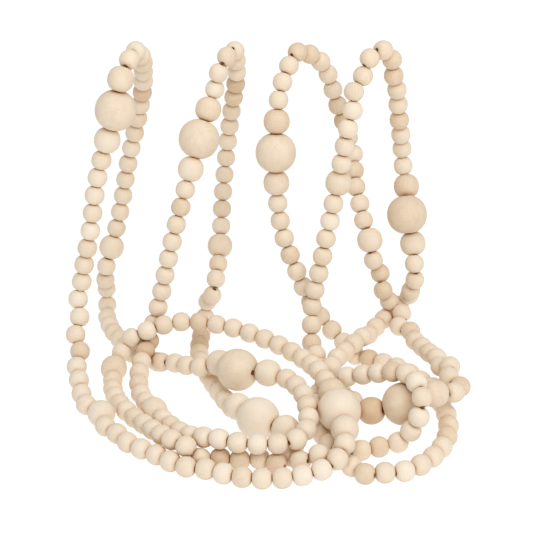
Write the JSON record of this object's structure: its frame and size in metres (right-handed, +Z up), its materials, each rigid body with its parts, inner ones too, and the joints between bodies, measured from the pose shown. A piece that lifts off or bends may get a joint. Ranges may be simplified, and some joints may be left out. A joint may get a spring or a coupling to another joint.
{
  "type": "wood bead garland",
  "caption": "String of round natural wood beads in three sizes, hanging in loops at the top with its lower half lying in coils.",
  "frame": {"origin": "middle of the outline in plan, on the surface that the lower beads lie on", "axes": "+Z up, -Y towards the viewer of the picture, +X to the viewer's right"},
  "size_m": [0.2449, 0.2547, 0.2108],
  "materials": {
    "small_beads": "natural unfinished pale wood, turned and sanded smooth, matt with a faint sheen, fine short grain; small beads",
    "medium_beads": "natural unfinished pale wood, turned and sanded smooth, matt with a faint sheen, fine short grain; medium beads",
    "large_beads": "natural unfinished pale wood, turned and sanded smooth, matt with a faint sheen, fine short grain; large beads",
    "string": "thin twisted brown twine through the holes, seen only in the gaps between beads"
  },
  "bodies": {
    "root": {"large_bead_01": "large_beads", "large_bead_02": "large_beads", "large_bead_03": "large_beads", "large_bead_04": "large_beads", "large_bead_05": "large_beads", "large_bead_06": "large_beads", "large_bead_07": "large_beads", "large_bead_08": "large_beads", "medium_bead_01": "medium_beads", "medium_bead_02": "medium_beads", "medium_bead_03": "medium_beads", "medium_bead_04": "medium_beads", "medium_bead_05": "medium_beads", "medium_bead_06": "medium_beads", "medium_bead_07": "medium_beads", "medium_bead_08": "medium_beads", "medium_bead_09": "medium_beads", "medium_bead_10": "medium_beads", "medium_bead_11": "medium_beads", "medium_bead_12": "medium_beads", "medium_bead_13": "medium_beads", "medium_bead_14": "medium_beads", "medium_bead_15": "medium_beads", "medium_bead_16": "medium_beads", "medium_bead_17": "medium_beads", "medium_bead_18": "medium_beads", "medium_bead_19": "medium_beads", "medium_bead_20": "medium_beads", "medium_bead_21": "medium_beads", "medium_bead_22": "medium_beads", "medium_bead_23": "medium_beads", "medium_bead_24": "medium_beads", "medium_bead_25": "medium_beads", "small_beads_big_arc": "small_beads", "small_beads_front_row": "small_beads", "small_beads_inner_loop": "small_beads", "small_beads_loop_a_back": "small_beads", "small_beads_loop_a_front": "small_beads", "small_beads_loop_a_top": "small_beads", "small_beads_loop_b_back": "small_beads", "small_beads_loop_b_front": "small_beads", "small_beads_loop_b_top": "small_beads", "small_beads_loop_c_back": "small_beads", "small_beads_loop_c_front": "small_beads", "small_beads_loop_c_top": "small_beads", "small_beads_loop_d_back": "small_beads", "small_beads_loop_d_front": "small_beads", "small_beads_loop_d_top": "small_beads", "small_beads_low_row": "small_beads", "small_beads_outer_bend": "small_beads", "small_beads_upper_row": "small_beads"}
  },
  "joints": []
}
